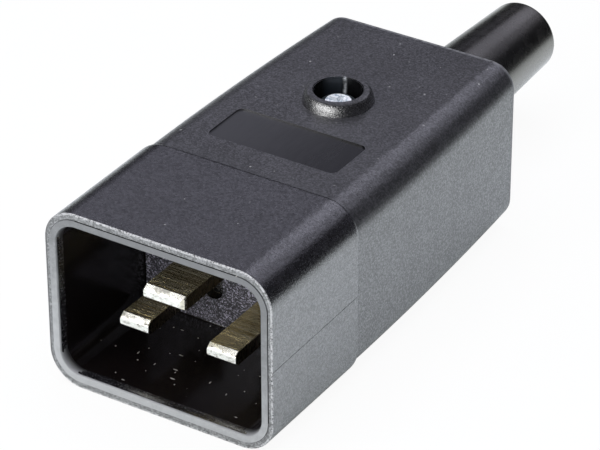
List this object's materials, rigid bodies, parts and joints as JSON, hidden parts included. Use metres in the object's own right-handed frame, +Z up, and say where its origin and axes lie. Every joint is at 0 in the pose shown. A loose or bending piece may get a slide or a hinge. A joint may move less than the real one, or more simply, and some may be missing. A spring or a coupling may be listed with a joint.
{
  "type": "iec power plug",
  "caption": "Rewireable cord plug: flat blades inside a rectangular shroud, a tapered hood with a screw collar on top, and a tapered bend-relief sleeve at the rear.",
  "frame": {"origin": "on the underside, below the middle of the overall length", "axes": "+X across to the right as seen from the open rim, +Y from the rim at the front to the sleeve at the rear, +Z up, with the earth blade uppermost"},
  "size_m": [0.0326, 0.0902, 0.0262],
  "materials": {
    "shroud_plastic": "fine spark-eroded grain outside, smooth inside",
    "hood_plastic": "fine spark-eroded grain",
    "plated_brass": "pale nickel plating over drawn brass",
    "zinc_steel": "bright zinc plating",
    "clamp_plastic": "plain moulded",
    "sleeve_rubber": "smooth satin"
  },
  "bodies": {
    "root": {"front_shroud": "shroud_plastic", "rear_hood": "hood_plastic", "earth_pin": "plated_brass", "line_pin": "plated_brass", "neutral_pin": "plated_brass", "earth_terminal_screw": "zinc_steel", "line_terminal_screw": "zinc_steel", "neutral_terminal_screw": "zinc_steel", "cable_clamp": "clamp_plastic", "left_clamp_screw": "zinc_steel", "right_clamp_screw": "zinc_steel", "housing_screw": "zinc_steel", "housing_nut": "zinc_steel", "bend_relief_sleeve": "sleeve_rubber"}
  },
  "joints": []
}
